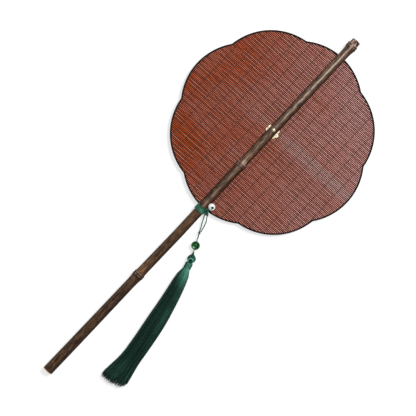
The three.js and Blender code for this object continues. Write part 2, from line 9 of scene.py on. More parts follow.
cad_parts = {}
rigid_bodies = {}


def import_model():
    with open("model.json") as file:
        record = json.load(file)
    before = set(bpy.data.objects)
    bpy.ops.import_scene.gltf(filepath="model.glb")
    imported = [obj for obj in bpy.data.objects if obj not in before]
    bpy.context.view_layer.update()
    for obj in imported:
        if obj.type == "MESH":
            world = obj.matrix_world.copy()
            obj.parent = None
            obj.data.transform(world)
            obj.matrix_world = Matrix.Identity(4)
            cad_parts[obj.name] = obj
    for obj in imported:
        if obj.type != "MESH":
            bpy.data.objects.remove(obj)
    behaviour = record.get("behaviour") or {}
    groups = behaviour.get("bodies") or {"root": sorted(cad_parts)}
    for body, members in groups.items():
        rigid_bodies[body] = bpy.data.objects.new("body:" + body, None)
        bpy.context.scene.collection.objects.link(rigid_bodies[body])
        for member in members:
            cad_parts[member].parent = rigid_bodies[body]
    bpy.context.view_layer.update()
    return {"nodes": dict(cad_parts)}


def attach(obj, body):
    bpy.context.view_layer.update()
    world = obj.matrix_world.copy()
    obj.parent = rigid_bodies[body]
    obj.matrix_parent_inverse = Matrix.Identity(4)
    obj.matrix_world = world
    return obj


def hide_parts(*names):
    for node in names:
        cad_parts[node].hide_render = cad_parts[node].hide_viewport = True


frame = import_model()

mm = 0.001  # shapes below are in millimetres
axisZ = 6.7649  # height of the handle's axis over the table
world = bpy.context.scene.collection.objects


# Camera straight above, with the handle rising to the right
shot = {"middle": (5.07, 2.89, 6.8), "right": (0.7307, 0.6827), "frameWidth": 466.5, "lens": 120,
        "sensor": 36, "farthest": 20}


def makeCamera():
    lens = bpy.data.cameras.new("camera")
    lens.lens, lens.sensor_width, lens.clip_end = shot["lens"], shot["sensor"], shot["farthest"]
    camera = bpy.data.objects.new("camera", lens)
    world.link(camera)
    away = shot["frameWidth"] * shot["lens"] / shot["sensor"]
    across, along = shot["right"]
    x, y, z = (value * mm for value in shot["middle"])
    camera.matrix_world = Matrix((
        (across, -along, 0, x), (along, across, 0, y), (0, 0, 1, z + away * mm), (0, 0, 0, 1)))
    bpy.context.scene.camera = camera


makeCamera()
print("camera set")


# Skins: rings of points joined into closed tubes, in millimetres
def skin(rings, closed=False):
    rings = np.asarray(rings, float)
    count, sides = rings.shape[:2]
    ring = np.arange(count if closed else count - 1)[:, None]
    side = np.arange(sides)[None]
    here, there, beside = ring * sides, (ring + 1) % count * sides, (side + 1) % sides
    faces = np.stack([here + side, here + beside, there + beside, there + side], -1).reshape(-1, 4).tolist()
    if not closed:
        faces.append(list(range(sides))[::-1])
        faces.append(list(range((count - 1) * sides, count * sides)))
    return rings.reshape(-1, 3), faces


class Heap:  # several skins gathered into one piece
    def __init__(self):
        self.points, self.faces, self.size = [], [], 0

    def add(self, built):
        points, faces = built
        self.points.append(points)
        self.faces += [[corner + self.size for corner in face] for face in faces]
        self.size += len(points)

    def built(self):
        return np.concatenate(self.points), self.faces


def unit(vectors):
    vectors = np.asarray(vectors, float)
    return vectors / np.linalg.norm(vectors, axis=-1, keepdims=True)


def fullTurn(count):
    return 2 * np.pi * np.arange(count) / count


def evenly(path, step):  # the same path with points about a step apart
    path = np.asarray(path, float)
    along = np.concatenate([[0], np.cumsum(np.linalg.norm(np.diff(path, axis=0), axis=1))])
    at = np.linspace(0, along[-1], max(3, int(along[-1] / step) + 1))
    return np.stack([np.interp(at, along, path[:, k]) for k in range(3)], 1), at


def carried(path):  # side and up directions carried along a path without twist
    heading = unit(np.gradient(path, axis=0))
    first = np.cross(heading[0], (0, 0, 1))
    if np.linalg.norm(first) < 0.05:
        first = np.cross(heading[0], (1, 0, 0))
    side = np.zeros_like(path)
    side[0] = unit(first)
    for k in range(1, len(path)):
        side[k] = unit(side[k - 1] - heading[k] * (side[k - 1] @ heading[k]))
    return side, np.cross(heading, side)


def around(middle, side, up, radius, sides):  # rings about a path
    turn = fullTurn(sides)
    radius = np.broadcast_to(radius, len(middle))[:, None, None]
    ring = np.cos(turn)[None, :, None] * side[:, None] + np.sin(turn)[None, :, None] * up[:, None]
    return middle[:, None] + radius * ring


def thread(path, radius, sides=6, upright=None, closed=False):  # a plain round thread
    path = np.asarray(path, float)
    if upright is None:
        side, up = carried(path)
    else:
        ahead = np.roll(path, -1, 0) - np.roll(path, 1, 0) if closed else np.gradient(path, axis=0)
        side = unit(np.cross(unit(ahead), upright))
        up = np.cross(side, unit(ahead))
    return skin(around(path, side, up, radius, sides), closed)


def pliedCord(path, diameter, plies=3, lay=2.4, step=0.3):  # plies laid round each other
    path, along = evenly(path, step)
    side, up = carried(path)
    heap = Heap()
    for ply in range(plies):
        turn = 2 * np.pi * (along / lay + ply / plies)[:, None]
        middle = path + 0.2 * diameter * (np.cos(turn) * side + np.sin(turn) * up)
        heap.add(skin(around(middle, side, up, 0.3 * diameter, 6)))
    return heap.built()


def spun(profile, place, axis, segments=56, closed=False):  # profile of (radius, along) turned about an axis
    axis = unit(axis)
    side = unit(np.cross(axis, (0.3, 0.2, 1) if abs(axis[2]) < 0.9 else (1, 0, 0)))
    up = np.cross(axis, side)
    turn = fullTurn(segments)
    ring = np.cos(turn)[:, None] * side + np.sin(turn)[:, None] * up
    rings = [np.asarray(place) + along * axis + radius * ring for radius, along in profile]
    return skin(rings, closed)


def smoothRoute(points, steps=24):  # centripetal curve through the points, the line that the solids follow
    points = np.array(points, float)
    line = np.concatenate([[2 * points[0] - points[1]], points, [2 * points[-1] - points[-2]]])
    share = np.linspace(0, 1, steps, endpoint=False)[:, None]
    found = []
    for k in range(1, len(line) - 2):
        before, here, there, after = line[k - 1:k + 3]
        pairs = ((before, here), (here, there), (there, after))
        first, main, last = (math.sqrt(np.linalg.norm(b - a)) for a, b in pairs)
        leave = main * ((here - before) / first - (there - before) / (first + main) + (there - here) / main)
        meet = main * ((there - here) / main - (after - here) / (main + last) + (after - there) / last)
        found.append(here + leave * share + (3 * (there - here) - 2 * leave - meet) * share ** 2
                     + (2 * (here - there) + leave + meet) * share ** 3)
    return np.concatenate(found + [points[-1:]])


def makeMesh(name, built, sharp):
    mesh = bpy.data.meshes.new(name)
    mesh.from_pydata((np.asarray(built[0]) * mm).tolist(), [], built[1])
    cleanUp(mesh, sharp)
    return mesh


def makePiece(name, built, finish, body, nodes=(), sharp=None):
    piece = bpy.data.objects.new(name, makeMesh(name, built, sharp))
    world.link(piece)
    piece.data.materials.append(finish)
    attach(piece, body)
    if nodes:
        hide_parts(*nodes)
    return piece


def cleanUp(mesh, sharp):
    shape = bmesh.new()
    shape.from_mesh(mesh)
    bmesh.ops.remove_doubles(shape, verts=shape.verts, dist=1e-7)
    bmesh.ops.recalc_face_normals(shape, faces=shape.faces)
    for face in shape.faces:
        face.smooth = True
    if sharp:
        for edge in shape.edges:
            edge.smooth = len(edge.link_faces) != 2 or edge.calc_face_angle() < math.radians(sharp)
    shape.to_mesh(mesh)
    shape.free()


def dress(name, finish):  # a solid of the frame that shows as it is
    node = frame["nodes"][name]
    node.data.materials.clear()
    node.data.materials.append(finish)
    return node


# Finishes: arithmetic on a wire adds Math nodes
class Wire:
    def __init__(self, finish, socket):
        self.finish, self.socket = finish, socket

    def math(self, operation, first, second=0.0):
        return self.finish.node("ShaderNodeMath", {"operation": operation}, {0: first, 1: second})

    def __add__(self, other):
        return self.math("ADD", self, other)

    def __radd__(self, other):
        return self.math("ADD", other, self)

    def __sub__(self, other):
        return self.math("SUBTRACT", self, other)

    def __rsub__(self, other):
        return self.math("SUBTRACT", other, self)

    def __mul__(self, other):
        return self.math("MULTIPLY", self, other)

    def __rmul__(self, other):
        return self.math("MULTIPLY", other, self)

    def __truediv__(self, other):
        return self.math("DIVIDE", self, other)

    def __abs__(self):
        return self.math("ABSOLUTE", self)


def srgb(red, green, blue):
    def linear(value):
        value /= 255
        return value / 12.92 if value <= 0.04045 else ((value + 0.055) / 1.055) ** 2.4
    return linear(red), linear(green), linear(blue), 1


class Finish:
    def __init__(self, name, made=None):
        self.material = made or bpy.data.materials.new(name)
        self.material.use_nodes = True
        self.tree = self.material.node_tree
        self.tree.nodes.clear()
        self.place = self.node("ShaderNodeTexCoord", {}, {}, "Object")

    def node(self, kind, settings, sockets, output=0):
        made = self.tree.nodes.new(kind)
        for key, value in settings.items():
            setattr(made, key, value)
        for key, value in sockets.items():
            if isinstance(value, Wire):
                self.tree.links.new(value.socket, made.inputs[key])
            else:
                made.inputs[key].default_value = value
        return Wire(self, made.outputs[output]) if made.outputs else None

    def axis(self, name):
        return self.node("ShaderNodeSeparateXYZ", {}, {0: self.place}, name)

    def facing(self):
        return self.node("ShaderNodeTexCoord", {}, {}, "Normal")

    def island(self):
        return self.node("ShaderNodeNewGeometry", {}, {}, "Random Per Island")

    def vector(self, operation, first, second, output=0):
        return self.node("ShaderNodeVectorMath", {"operation": operation}, {0: first, 1: second}, output)

    def noise(self, stretch, detail=3.0, at=None):
        spread = self.vector("MULTIPLY", at or self.place, stretch)
        return self.node("ShaderNodeTexNoise", {}, {"Vector": spread, "Scale": 1.0, "Detail": detail})

    def joined(self, x, y, z):
        return self.node("ShaderNodeCombineXYZ", {}, {0: x, 1: y, 2: z})

    def ease(self, value, low, high):  # 0 below low, 1 above high
        smooth = {"interpolation_type": "SMOOTHSTEP"}
        return self.node("ShaderNodeMapRange", smooth, {0: value, 1: low, 2: high})

    def hill(self, value, middle, width):  # 1 at the middle, 0 a width away
        return 1 - self.ease(abs(value - middle), 0.0, width)

    def mix(self, first, second, share):
        return self.node("ShaderNodeMix", {"data_type": "RGBA"}, {0: share, 6: first, 7: second}, 2)

    def coats(self, colour, *layers):  # each layer is a paint and the share that it covers
        for paint, share in layers:
            colour = self.mix(colour, paint if isinstance(paint, Wire) else srgb(*paint), share)
        return colour

    def bump(self, height, distance, strength=1.0):
        sockets = {"Height": height, "Distance": distance, "Strength": strength}
        return self.node("ShaderNodeBump", {}, sockets)

    def surface(self, colour, rough, normal=None, shine=0.5, more=()):
        sockets = {"Base Color": colour, "Roughness": rough, "Specular IOR Level": shine, **dict(more)}
        if normal:
            sockets["Normal"] = normal
        shade = self.node("ShaderNodeBsdfPrincipled", {}, sockets)
        self.node("ShaderNodeOutputMaterial", {}, {0: shade})
        return self.material


# Handle: bamboo culm with three nodes
culm = {"length": 507, "butt": 11.8, "tip": 10.2, "sides": 48, "chamfer": 0.5, "nodes": (-104.5, 63.5, 245.5),
        "sway": ((-253.5, -104.5, -40, 63.5, 253.5), (-1.85, -0.6, 0, -0.9, -0.9)),
        "nodeRise": ((-11, -7, -4, -2.2, -1.5, -1.1, -0.7, -0.1, 0.5, 1.0, 1.5, 2.1, 3.0, 4.6, 7),
                     (0, 0.16, 0.5, 0.85, 1.08, 1.1, 0.72, 0.52, 0.8, 1.08, 0.98, 0.5, 0.18, 0.05, 0)),
        "nodeSize": (1.0, 0.9, 1.3), "nodeTan": (0.6, 0.9, 0.3), "nodeLean": (-2.0, -0.25, -2.0),
        "nodeLine": (0.92, 0.8, 0.92), "slit": (-4, 232, -0.7, 1.2), "seed": 5}
culmEnd = culm["length"] / 2


def culmRadius(y):
    return (culm["butt"] + (culm["tip"] - culm["butt"]) * (y + culmEnd) / culm["length"]) / 2


def culmSway(y):
    return float(np.interp(y, *culm["sway"]))


def bambooFinish():
    look = Finish("smokedBamboo")
    y = look.axis("Y")
    side = look.node("ShaderNodeSeparateXYZ", {}, {0: look.facing()}, "X")
    fibre = look.noise((1300, 40, 1300), 3.0)
    streak = look.noise((480, 16, 480), 3.0)
    mottle = look.noise((460, 130, 460), 4.0)
    speck = look.noise((1500, 260, 1500), 2.0)
    cloud = look.noise((90, 40, 90), 3.0)
    grain = look.noise((900, 420, 900), 3.0)
    smudge = look.noise((430, 125, 430), 4.0)
    patchy = streak + 0.6 * mottle
    lower = 1 - look.ease(y, -0.11, 0.0)
    colour = look.coats(
        srgb(42, 27, 17),
        ((92, 67, 47), look.ease(streak, 0.38, 0.6)),
        ((134, 96, 62), 0.55 * look.ease(mottle, 0.5, 0.62)),
        ((30, 19, 10), (0.3 + 0.25 * look.hill(side - 0.05, 0.0, 0.5)) * lower),
        ((74, 60, 34), 0.4 * look.ease(cloud, 0.5, 0.7)),
        ((112, 92, 82), 0.6 * look.ease(y, 0.02, 0.2)))
    for node, tan, lean, line in zip(culm["nodes"], culm["nodeTan"], culm["nodeLean"], culm["nodeLine"]):
        near = lambda shift, width: look.hill(y, (node + shift) * mm, width * mm)
        above = look.ease(y, node * mm, (node + 2) * mm) * look.ease(side, lean, lean + 0.4)
        above = above * (1 - look.ease(y, (node + 5) * mm, (node + 34) * mm))
        colour = look.coats(
            colour,
            ((166, 122, 84), tan * above * look.ease(mottle + 0.5 * streak, 0.6, 0.86)),
            ((38, 24, 18), 0.7 * near(-3.4, 2.6)),
            ((190, 160, 140), 0.75 * near(-1.1, 0.6) * look.ease(mottle, 0.36, 0.56)),
            ((20, 11, 8), line * near(-0.1, 0.65)),
            ((186, 152, 126), 0.7 * near(1.3, 0.8) * look.ease(streak, 0.34, 0.56)))
    middleNode, topNode = culm["nodes"][1:]
    shine = 0.45 * look.ease(y, 0.03, 0.09) + 0.55 * look.ease(y, 0.05, 0.17)
    shine = look.hill(side + 0.05, 0.0, 0.32) * shine
    # painted highlight: a soft light streak down the crown just above the wrap
    paintedGleam = look.hill(side + 0.12, 0.0, 0.55) * look.ease(y, -0.004, 0.004) * (1 - look.ease(y, 0.05, 0.1))
    scar = look.hill(y, (middleNode + 4) * mm, 5 * mm) * look.ease(side, -0.5, 0.1)
    scar = scar * look.ease(mottle, 0.4, 0.52)
    stub = look.ease(y, (topNode + 0.5) * mm, (topNode + 1.7) * mm)  # sheathless end past the last node
    bare = look.mix(srgb(192, 166, 150), srgb(84, 40, 34), look.ease(mottle + 0.25 * grain, 0.6, 0.68))
    cut = look.ease(abs(y), (culmEnd - 0.3) * mm, (culmEnd - 0.05) * mm)  # sawn ends show pale fibre
    sawn = look.mix(srgb(128, 106, 86), srgb(80, 56, 42), look.ease(speck, 0.45, 0.6))
    colour = look.coats(
        colour,
        ((216, 192, 176), 0.95 * shine * look.ease(patchy, 0.62, 0.96)),
        ((146, 124, 112), 0.7 * paintedGleam * look.ease(patchy, 0.5, 0.9)),
        # painted light: the upper handle's flank on the -x side lighter
        ((126, 100, 84), 0.4 * look.hill(side, -0.74, 0.3) * look.ease(y, 0.0, 0.05)),
        ((212, 186, 168), 0.9 * scar),
        ((122, 92, 70), 0.35 * look.ease(grain, 0.5, 0.64)),
        (bare, 0.9 * stub),
        ((24, 13, 9), 0.45 * look.ease(smudge, 0.52, 0.6)),
        ((158, 122, 94), (0.1 + 0.15 * look.ease(y, -0.1, 0.05)) * (1 - look.ease(smudge, 0.4, 0.48))),
        # painted shade: the +x side of the handle darker
        ((46, 22, 13), 0.6 * look.ease(side, 0.18, 0.6)),
        ((28, 16, 11), 0.65 * look.ease(fibre, 0.5, 0.64)),
        ((20, 12, 9), 0.5 * look.ease(speck, 0.64, 0.72)),
        ((24, 13, 9), 0.85 * look.ease(abs(side + 0.06), 0.6, 1.05)),  # painted shade: darker on the flanks where the round culm turns away
        ((200, 154, 102), 0.9 * look.hill(y, (0.3 - culmEnd) * mm, 1.1 * mm)),  # worn edge of the butt
        (sawn, cut))
    return look.surface(colour, 0.5 + 0.25 * streak, look.bump(fibre + 0.6 * speck, 0.00012, 0.5), 0.15)


def culmBody():
    dice = np.random.default_rng(culm["seed"])
    rows = [-culmEnd + culm["chamfer"], culmEnd - culm["chamfer"]]
    rows += list(np.arange(-culmEnd + 3, culmEnd - 2, 3.0))
    for node in culm["nodes"]:
        rows += list(np.arange(max(node - 11, -culmEnd + 1), min(node + 7.5, culmEnd - 0.8), 0.3))
    rows = np.unique(np.round(rows, 2))
    turn = fullTurn(culm["sides"])
    phase = dice.uniform(0, 2 * np.pi, 6)
    rings = []
    for y in rows:
        rise = max(size * np.interp(y - node, *culm["nodeRise"])
                   for node, size in zip(culm["nodes"], culm["nodeSize"]))
        uneven = (0.05 * np.sin(2 * turn + phase[0] + y / 70) + 0.035 * np.sin(3 * turn + phase[1] - y / 45)
                  + (0.1 * np.sin(2 * turn + phase[4]) + 0.08 * np.sin(5 * turn + phase[2] + y / 3)) * rise)
        radius = culmRadius(y) + rise + uneven
        middle = culmSway(y) + 0.12 * math.sin(y / 33 + phase[3])
        rings.append(np.stack([middle + radius * np.cos(turn), np.full(culm["sides"], y),
                               axisZ + radius * np.sin(turn)], 1))
    for last, side in ((0, -1), (-1, 1)):  # rounded edge, then the sawn face
        ring = rings[last]
        centre = ring.mean(0)
        for pull, push in ((0.03, 0.25), (0.1, 0.5)):
            made = centre + (ring - centre) * (1 - pull) + np.array([0, side * push, 0])
            rings.insert(0 if side < 0 else len(rings), made)
    return skin(rings)


def cutterBox(low, high):
    corners = ((low[0], low[2]), (high[0], low[2]), (high[0], high[2]), (low[0], high[2]))
    return skin([[(x, y, z) for x, z in corners] for y in (low[1], high[1])])


def carve(piece, cutters, sharp):  # cuts each closed skin out of a piece
    tools = []
    for built in cutters:
        tools.append(bpy.data.objects.new("cutter", makeMesh("cutter", built, None)))
        world.link(tools[-1])
        cut = piece.modifiers.new("cut", "BOOLEAN")
        cut.operation, cut.solver, cut.object = "DIFFERENCE", "EXACT", tools[-1]
    bpy.context.view_layer.update()
    piece.data = bpy.data.meshes.new_from_object(piece.evaluated_get(bpy.context.evaluated_depsgraph_get()))
    piece.modifiers.clear()
    for tool in tools:
        bpy.data.objects.remove(tool)
    cleanUp(piece.data, sharp)


pin = {"y": 116.6, "shank": 1.1, "head": 2.4, "dome": 1.5, "seat": 4.816, "spot": 2.7,
       "washerSpot": 2.6, "past": 9}
pinPlace = (culmSway(pin["y"]), pin["y"], axisZ)


def makeHandle():
    handle = makePiece("bambooHandle", culmBody(), bambooFinish(), "fan", ["handle"])
    low, high, floor, roof = culm["slit"]
    upright = lambda radius, start, end: spun(
        [(0, start), (radius, start), (radius, end), (0, end)], pinPlace, (0, 0, 1), 40)
    carve(handle, [
        cutterBox((-15, low, axisZ + floor), (15, high, axisZ + roof)),
        upright(pin["shank"] + 0.1, -pin["past"], pin["past"]),
        upright(pin["spot"], pin["seat"] - 0.1, pin["past"]),
        upright(pin["washerSpot"], -pin["past"], -pin["seat"] + 0.1)], 38)


makeHandle()
print("handle carved")


# Screen: petal outline of eight arcs
petal = {"lobes": 8, "tip": 115, "cusp": 109.3, "centre": 114}
petalHalf = math.pi / petal["lobes"]
petalHub = petal["tip"] ** 2 - petal["cusp"] ** 2
petalHub /= 2 * (petal["tip"] - petal["cusp"] * math.cos(petalHalf))
petalArc = petal["tip"] - petalHub


def petalRadius(angle, offset):
    turn = angle - np.round(angle / (2 * petalHalf)) * 2 * petalHalf
    return petalHub * np.cos(turn) + np.sqrt((petalArc - offset) ** 2 - (petalHub * np.sin(turn)) ** 2)


def petalReach(rise, offset, tilt=0.0):  # ends of the outline, left and right, at a height over its centre
    rise = np.asarray(rise, float)
    left, right = np.zeros_like(rise), np.zeros_like(rise)
    for lobe in range(petal["lobes"]):
        angle = 2 * petalHalf * lobe + tilt
        inside = (petalArc - offset) ** 2 - (rise - petalHub * math.cos(angle)) ** 2
        half = np.sqrt(np.maximum(inside, 0))
        left = np.where(inside > 0, np.minimum(left, petalHub * math.sin(angle) - half), left)
        right = np.where(inside > 0, np.maximum(right, petalHub * math.sin(angle) + half), right)
    return left, right


splint = {"pitch": 1.77, "count": 129, "tilt": math.radians(1.35), "inset": 1.6, "step": 3.75, "lift": 0.09,
          "wander": 0.035, "seed": 11,
          "section": ((-0.89, -0.12), (-0.74, 0.24), (-0.5, 0.47), (-0.18, 0.57), (0.18, 0.57), (0.5, 0.47),
                      (0.74, 0.24), (0.89, -0.12), (0.6, -0.48), (0, -0.56), (-0.6, -0.48))}
warp = {"first": 8.9, "pitch": 15.0, "thick": 0.23, "apart": 0.34, "lines": range(-8, 8), "shortest": 12}
leanAlong, leanOver = math.cos(splint["tilt"]), math.sin(splint["tilt"])


def splintFinish():
    look = Finish("stainedSplints")
    x = look.axis("X")
    up = look.axis("Y") - petal["centre"] * mm
    over = (leanAlong * up - leanOver * x) / (splint["pitch"] * mm)
    fold = lambda value: look.node("ShaderNodeMath", {"operation": "PINGPONG"}, {0: value, 1: 0.5})
    edge = fold(over)  # 0 on a splint's crest, 0.5 in the gap
    beside = fold((x - warp["first"] * mm) / (warp["pitch"] * mm))
    row = look.node("ShaderNodeMath", {"operation": "ROUND"}, {0: over})
    strip = lambda shift: look.noise((28, 7.31, 1), 3.0, look.joined(x, row + shift, 0.0))
    dash = 0.5 + strip(0) - 0.5 * (strip(-1) + strip(1))  # each splint stands out from its neighbours
    fibre = look.noise((110, 4200, 4200), 3.0)
    paintedSheenGradient = look.ease(x + 0.55 * up, -0.12, 0.13)  # painted sheen: paler and greyer to the upper right
    paintedSheenGradient = paintedSheenGradient - 0.22 * look.hill(up, -0.018, 0.022)
    # painted sheen: crests paler still towards the upper right corner
    pale = look.ease(x + up, 0.07, 0.16)
    warm = 0.65 * look.ease(look.noise((16, 16, 16), 3.0), 0.42, 0.62)
    warm = warm + 0.5 * look.ease(look.noise((20, 3.9, 1), 2.0, look.joined(x, row, 3.0)), 0.44, 0.6)
    warm = warm * (1 - 0.5 * look.ease(x + 0.3 * up, -0.11, 0.0))
    sheen = 0.5 * look.hill(over, -1.1, 2.0) + 0.55 * look.hill(over, 3.1, 2.8)
    sheen = sheen + 0.25 * look.hill(over, 1.0, 6.0)
    sheen = sheen * (0.45 * look.ease(x, -0.07, -0.01) + 0.55 * look.ease(x, 0.0, 0.04))
    dull = (1 - look.ease(dash, 0.4, 0.54)) * (1 - 0.45 * paintedSheenGradient)
    bright = look.mix(srgb(250, 182, 144), srgb(255, 238, 230), paintedSheenGradient)
    body = look.coats(
        look.mix(srgb(139, 72, 57), srgb(147, 66, 54), paintedSheenGradient),
        ((158, 58, 6), 0.85 * warm),
        ((80, 30, 18), 0.55 * dull),
        ((110, 84, 80), 0.4 * sheen))
    # crest: a painted highlight along each splint's top, brighter in stretches
    crest = look.coats(
        look.mix(srgb(234, 146, 122), srgb(255, 209, 200), paintedSheenGradient),
        ((218, 94, 22), 0.8 * warm * (1 - 0.6 * paintedSheenGradient)),
        ((255, 222, 222), 0.6 * pale),
        ((146, 62, 40), (0.6 + 0.2 * paintedSheenGradient) * dull),
        (bright, (0.55 + 0.1 * paintedSheenGradient) * look.ease(dash, 0.56, 0.7)),
        ((240, 236, 236), 0.5 * sheen))
    colour = look.coats(
        look.mix(crest, body, look.ease(edge, 0.06, 0.14)),
        ((84, 38, 28), 0.25 * look.ease(fibre, 0.55, 0.75)),
        # painted shade: near black in the gaps between the splints
        ((13, 5, 7), 0.97 * look.ease(edge, 0.22, 0.3)),
        ((44, 30, 36), 0.12 * (1 - look.ease(beside, 0.02, 0.06))))  # darker in a thin band along each warp
    return look.surface(colour, 0.45 + 0.2 * dash, look.bump(fibre, 0.00006, 0.6), 0.03)


def makeSplints():
    dice = np.random.default_rng(splint["seed"])
    heap = Heap()
    section = np.array(splint["section"])
    for row in range(splint["count"]):
        rise = (row - (splint["count"] - 1) / 2) * splint["pitch"]
        left, right = petalReach(rise + section[:, 0], splint["inset"], splint["tilt"])
        spans = max(5, int((right - left).max() / splint["step"]))
        share = np.linspace(0, 1, spans + 1)[:, None]
        along = left[None] + share * (right - left)[None]
        drift = splint["wander"] * (np.sin(along / 31 + row / 9) + 0.5 * np.sin(along / 12 - row / 6))
        over = rise + section[None, :, 0] + drift
        weave = 2 * np.pi * (along - warp["first"]) / warp["pitch"]
        lift = splint["lift"] * np.cos(weave) * (1 if row % 2 else -1)
        x, y = leanAlong * along - leanOver * over, petal["centre"] + leanOver * along + leanAlong * over
        z = axisZ + dice.uniform(0.94, 1.02) * section[None, :, 1] + lift
        heap.add(skin(np.stack([x, y, z], -1)))
    makePiece("wovenSplints", heap.built(), splintFinish(), "fan", ["splint_mat"], 50)


def warpFinish():
    look = Finish("warpThread")
    fuzz = look.noise((3000, 900, 3000), 2.0)
    worn = look.noise((60, 130, 60), 3.0)
    colour = look.coats(
        srgb(62, 50, 54),
        ((86, 68, 70), look.island()),
        ((34, 27, 30), 0.6 * look.ease(fuzz, 0.5, 0.7)),
        ((112, 66, 56), 0.45 * look.ease(worn + 0.4 * look.axis("X"), 0.46, 0.66)))
    return look.surface(colour, 0.7 + 0.2 * fuzz, look.bump(fuzz, 0.00005, 0.5), 0.2)


def makeWarps():
    heap = Heap()
    thick = warp["thick"]
    for line in warp["lines"]:
        x = warp["first"] + line * warp["pitch"]
        reach = float(petalReach(x, splint["inset"])[1])
        if reach < warp["shortest"]:
            continue
        y = np.arange(-reach, reach, splint["pitch"] / 4)
        over = leanAlong * y - leanOver * x  # the threads cross between the leaning splints
        for side in (-1, 1):
            z = side * (0.62 + thick * 0.7) * np.cos(np.pi * over / splint["pitch"])
            place = x + side * warp["apart"] / 2 + 0.12 * np.sin(y / 11 + line)
            heap.add(thread(np.stack([place, petal["centre"] + y, axisZ + z], 1), thick, 4, (1, 0, 0)))
    makePiece("warpThreads", heap.built(), warpFinish(), "fan")


makeSplints()
makeWarps()
print("screen woven")


# Rim: charcoal tape folded over the hoop and the splint ends
rim = {"width": 1.9, "half": 0.98, "tape": 0.26, "inset": 2, "gap": 0.3, "steps": 220,
       "ripple": 0.05, "seed": 3}


def tapeFinish():
    look = Finish("charcoalTape")
    ribs = look.noise((2600, 2600, 900), 2.0)
    wear = look.noise((180, 180, 180), 4.0)
    colour = look.coats(
        srgb(15, 12, 12),
        ((34, 28, 28), look.ease(ribs, 0.4, 0.65)),
        ((66, 50, 45), 0.3 * look.ease(wear, 0.58, 0.78)))
    return look.surface(colour, 0.72 + 0.2 * ribs, look.bump(ribs, 0.00008, 0.6), 0.15)


def tapeSection():
    wide, half, tape = rim["width"], rim["half"], rim["tape"]
    outer = [(wide, half - 0.24), (wide - 0.06, half - 0.05), (wide * 0.7, half), (wide * 0.35, half),
             (0.28, half - 0.08), (0.08, half - 0.32), (0, half * 0.35)]
    outer += [(offset, -z) for offset, z in reversed(outer)]
    inner = [(wide, -half + tape), (tape + 0.1, -half + tape), (tape, 0), (tape + 0.1, half - tape),
             (wide, half - tape)]
    return np.array(outer + inner)


def makeRim(side, name, node):
    dice = np.random.default_rng(rim["seed"] + side)
    beside = lambda y: side * culmSway(y) + culmRadius(y) + rim["gap"]
    clear = lambda y: math.asin(beside(y) / (petal["tip"] - rim["inset"]))
    top, foot = petal["centre"] + petal["tip"], petal["centre"] - petal["tip"]
    angles = np.linspace(clear(top), math.pi - clear(foot), rim["steps"])
    phase = dice.uniform(0, 2 * np.pi, 3)
    wave = rim["ripple"] * (np.sin(angles * 61 + phase[0]) + 0.6 * np.sin(angles * 133 + phase[1]))
    section = tapeSection()
    rings = []
    for angle, ripple in zip(angles, wave):
        offset = section[:, 0] + ripple * (section[:, 0] > 1)
        radius = petalRadius(angle, offset)
        rings.append(np.stack([side * radius * np.sin(angle), petal["centre"] + radius * np.cos(angle),
                               axisZ + section[:, 1] * (1 + 0.4 * ripple)], 1))
    makePiece(name, skin(rings), tapeLook, "fan", [node], 50)


def hoopFinish():
    look = Finish("hoopStrip")
    grain = look.noise((700, 700, 2000), 3.0)
    colour = look.mix(srgb(40, 27, 21), srgb(78, 56, 43), grain)
    return look.surface(colour, 0.5 + 0.2 * grain, look.bump(grain, 0.00008, 0.5))


tapeLook = tapeFinish()
makeRim(1, "rimTapeRight", "rim_binding_right")
makeRim(-1, "rimTapeLeft", "rim_binding_left")
dress("rim_hoop", hoopFinish())
print("rim bound")


# Brass: pin, washer and plate
def brassFinish():
    look = Finish("softBrass")
    cloud = look.noise((350, 350, 350), 4.0)
    scratch = look.noise((400, 5200, 400), 2.0)
    colour = look.coats(
        srgb(206, 184, 136),
        ((240, 230, 204), look.ease(cloud, 0.35, 0.65)),
        ((150, 120, 72), 0.45 * look.ease(scratch, 0.58, 0.75)))
    return look.surface(colour, 0.26 + 0.2 * cloud, look.bump(scratch, 0.00003, 0.4), more={"Metallic": 1.0})


def makeBrass():
    brass = brassFinish()
    shank, head, seat, dome = pin["shank"], pin["head"], pin["seat"], pin["dome"]
    tail = -seat - 0.6
    profile = [(0, tail - 0.7), (1.0, tail - 0.7), (1.4, tail - 0.55), (1.6, tail - 0.3), (1.6, tail),
               (shank, tail), (shank, seat), (head - 0.12, seat), (head, seat + 0.1)]
    arc = np.linspace(0.05, math.pi / 2 - 0.05, 12)
    profile += [(head * math.cos(t), seat + 0.15 + (dome - 0.15) * math.sin(t)) for t in arc]
    profile += [(0, seat + dome)]
    makePiece("brassPin", spun(profile, pinPlace, (0, 0, 1)), brass, "fan", ["brass_pin"], 40)
    for name in ("brass_plate", "pin_washer"):
        edge = dress(name, brass).modifiers.new("softEdge", "BEVEL")
        edge.width, edge.segments = 0.12 * mm, 2
        edge.limit_method, edge.angle_limit = "ANGLE", math.radians(50)


makeBrass()
print("brass fitted")


# Green threads: wrap, hitch, cords and knots
def threadFinish(name, dark, mid, light, vary=0.5, rows=800, flank=None):
    look = Finish(name)
    twist = look.noise((1900, 1900, 1900), 2.0)
    fade = look.noise((240, 240, 240), 3.0)
    bands = look.noise((120, rows, 120), 2.0)
    colour = look.coats(
        srgb(*dark),
        (mid, look.ease(vary * (look.island() - 0.5) + 0.25 + 0.8 * fade, 0.2, 0.8)),
        (light, 0.7 * look.ease(0.6 * twist + 0.5 * bands, 0.55, 0.68)),
        (dark, 0.6 * look.ease(1 - bands, 0.54, 0.68)))
    if flank:  # painted shade: darker where the winding turns away to the sides
        across, middle = flank
        aside = abs(look.vector("DOT_PRODUCT", look.place, across, "Value") - middle)
        colour = look.coats(colour, ((5, 24, 18), 0.96 * look.ease(aside, 0.0014, 0.0042)))
    tint = {"Specular Tint": (0.6, 1.0, 0.85, 1)}
    return look.surface(colour, 0.42 + 0.25 * twist, look.bump(twist, 0.00006, 0.6), 0.3, tint)


